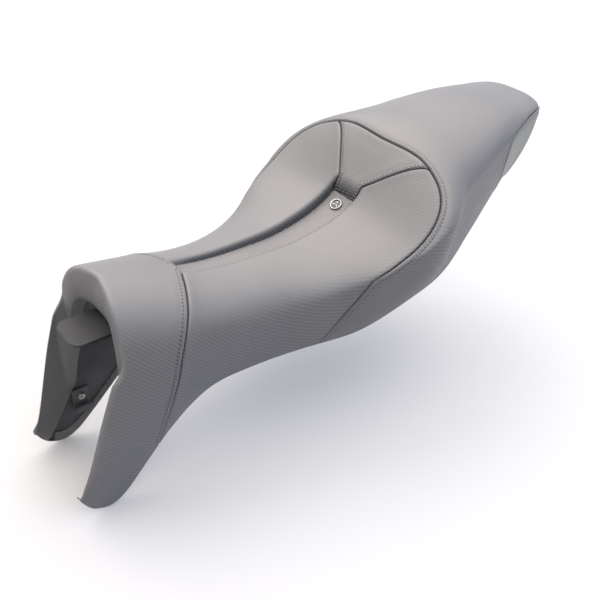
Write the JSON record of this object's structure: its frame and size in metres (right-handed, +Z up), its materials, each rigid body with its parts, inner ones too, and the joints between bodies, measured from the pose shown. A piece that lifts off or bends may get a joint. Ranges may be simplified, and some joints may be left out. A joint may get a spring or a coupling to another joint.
{
  "type": "motorcycle seat",
  "caption": "One-piece rider and passenger motorcycle seat: moulded base, foam block and sewn vinyl cover with side wings, relief channel and rear bolster.",
  "frame": {"origin": "middle of the striker bar under the passenger's end, which the seat lock holds", "axes": "+X to the motorcycle's left, -Y forward to the nose, +Y back to the tail, +Z up, with the seat as it sits on the level motorcycle"},
  "size_m": [0.3162, 0.824, 0.3775],
  "materials": {
    "vinyl": "ribbed vinyl, soft sheen",
    "plain_vinyl": "smooth vinyl, soft sheen",
    "pan_plastic": "moulded, fine grain",
    "foam": "moulded foam skin",
    "badge_chrome": "polished",
    "badge_enamel": "gloss",
    "wire": "drawn wire",
    "black_steel": "black powder coat",
    "zinc": "zinc plated",
    "bright_steel": "zinc plated, polished by use",
    "hook_plastic": "moulded",
    "rubber": "matt"
  },
  "bodies": {
    "seat": {"base_pan": "pan_plastic", "foam_core": "foam", "cover_nose": "vinyl", "cover_rider_left": "vinyl", "cover_rider_right": "vinyl", "cover_channel": "vinyl", "cover_bolster": "vinyl", "cover_passenger": "vinyl", "cover_tail": "plain_vinyl", "badge_rim": "badge_chrome", "badge_face": "badge_enamel", "staples": "wire", "front_tongue": "black_steel", "tongue_screws": "zinc", "striker_plate": "zinc", "striker_loop": "bright_steel", "striker_bolts": "zinc", "wing_hook_left": "hook_plastic", "wing_hook_right": "hook_plastic", "wing_hook_screws": "zinc", "strap_peg": "hook_plastic", "strap_hook": "hook_plastic", "bumper_front_left": "rubber", "bumper_front_right": "rubber", "bumper_middle_left": "rubber", "bumper_middle_right": "rubber", "bumper_rear_left": "rubber", "bumper_rear_right": "rubber", "bumper_tail_left": "rubber", "bumper_tail_right": "rubber"},
    "strap": {"tool_strap": "rubber"}
  },
  "joints": [
    {"name": "strap_swing", "type": "hinge", "parent": "seat", "child": "strap", "pos_m": [0.06, -0.3, -0.03606], "axis": [0, -1, 0], "range_deg": [0, 100]}
  ]
}
